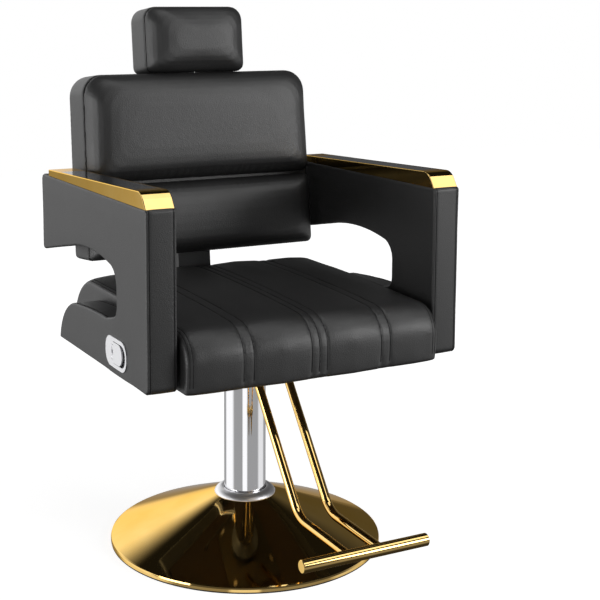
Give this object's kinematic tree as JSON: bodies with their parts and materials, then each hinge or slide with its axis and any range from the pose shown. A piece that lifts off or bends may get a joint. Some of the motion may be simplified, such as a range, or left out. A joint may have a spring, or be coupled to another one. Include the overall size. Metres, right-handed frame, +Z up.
{
  "type": "hydraulic barber chair",
  "caption": "Reclining hydraulic barber chair with a round polished base, column, C-shaped padded arms with capped tops, two-part back, sliding headrest and T-bar footrest.",
  "frame": {"origin": "on the floor under the column's axis", "axes": "+Z up along the column; the chair faces -Y; +X is the sitter's left"},
  "size_m": [0.6911, 0.8463, 1.1453],
  "materials": {
    "black_leather": "satin",
    "gold": "polished",
    "gold_cap": "polished",
    "black_inlay": "gloss",
    "chrome": "polished",
    "steel": "satin",
    "black_steel": "satin",
    "iron": "matte",
    "bronze": "satin",
    "rubber": "matte",
    "black_plastic": "matte",
    "plywood": "matte"
  },
  "bodies": {
    "base": {"base_dome": "gold", "base_plate": "iron", "base_gasket": "rubber", "base_collar": "chrome", "base_tube": "steel", "flange_bolts": "steel", "guide_bush": "bronze"},
    "lift": {"ram": "steel", "ram_piston": "bronze", "thrust_race": "steel"},
    "seat": {"pump_head": "black_steel", "shroud": "chrome", "shroud_ring": "chrome", "mount_plate": "black_steel", "mount_bolts": "steel", "seat_board": "plywood", "seat_frame": "black_steel", "seat_cushion": "black_leather", "arm_left": "black_leather", "arm_right": "black_leather", "arm_bolts": "steel", "cap_left": "gold_cap", "cap_right": "gold_cap", "inlay_left": "black_inlay", "inlay_right": "black_inlay", "footrest_bracket": "black_steel", "footrest_tube_left": "gold", "footrest_tube_right": "gold", "footrest_bar": "gold", "hinge_plate_left": "black_steel", "hinge_plate_right": "black_steel", "hinge_pin": "steel", "hinge_washers": "black_plastic", "release_head": "black_steel", "gas_cylinder": "black_steel", "lever_pin": "steel", "release_housing": "chrome", "paddle_pin": "steel", "paddle_spring": "steel", "release_cable": "black_plastic", "pedal_pin": "steel", "pedal_spring": "steel"},
    "back": {"back_strut": "black_steel", "strut_bush": "bronze", "strut_bolts": "steel", "lug_pin": "steel", "back_box": "black_leather", "lower_cushion": "black_leather", "upper_cushion": "black_leather", "headrest_sleeve": "steel", "headrest_bush": "black_plastic"},
    "headrest": {"headrest_pad": "black_leather", "headrest_bar": "chrome"},
    "gas_piston": {"gas_rod": "steel"},
    "pedal": {"pump_pedal": "chrome"},
    "plunger": {"pump_plunger": "steel"},
    "paddle": {"release_paddle": "chrome"},
    "lever": {"valve_lever": "steel"}
  },
  "joints": [
    {"name": "lift_slide", "type": "slide", "parent": "base", "child": "lift", "axis": [0, 0, 1], "range_m": [0, 0.15]},
    {"name": "seat_swivel", "type": "hinge", "parent": "lift", "child": "seat", "pos_m": [0, 0, 0.4], "axis": [0, 0, 1], "continuous": true},
    {"name": "back_recline", "type": "hinge", "parent": "seat", "child": "back", "pos_m": [0, 0.255, 0.457], "axis": [-1, 0, 0], "range_deg": [0, 28]},
    {"name": "headrest_slide", "type": "slide", "parent": "back", "child": "headrest", "axis": [0, 0.0993, 0.9951], "range_m": [0, 0.09]},
    {"name": "gas_rod_slide", "type": "slide", "parent": "seat", "child": "gas_piston", "axis": [0, -1, 0], "range_m": [0, 0.0197]},
    {"name": "pedal_swing", "type": "hinge", "parent": "seat", "child": "pedal", "pos_m": [0, 0.072, 0.398], "axis": [-1, 0, 0], "range_deg": [0, 18], "stiffness_Nm_per_rad": 4, "springref_deg": -20.05},
    {"name": "plunger_slide", "type": "slide", "parent": "seat", "child": "plunger", "axis": [0, 0, 1], "range_m": [0, 0.0096]},
    {"name": "paddle_pull", "type": "hinge", "parent": "seat", "child": "paddle", "pos_m": [-0.3422, -0.113, 0.482], "axis": [0, 0, -1], "range_deg": [0, 22], "stiffness_Nm_per_rad": 0.06, "springref_deg": -14.32},
    {"name": "valve_turn", "type": "hinge", "parent": "seat", "child": "lever", "pos_m": [-0.024, 0.082, 0.4176], "axis": [0, 0, 1], "range_deg": [0, 6]}
  ],
  "couplings": [
    {"joint": "gas_rod_slide", "follows": "back_recline", "m_per_rad": 0.0396},
    {"joint": "plunger_slide", "follows": "pedal_swing", "m_per_rad": 0.03},
    {"joint": "valve_turn", "follows": "paddle_pull", "ratio": 0.27}
  ]
}
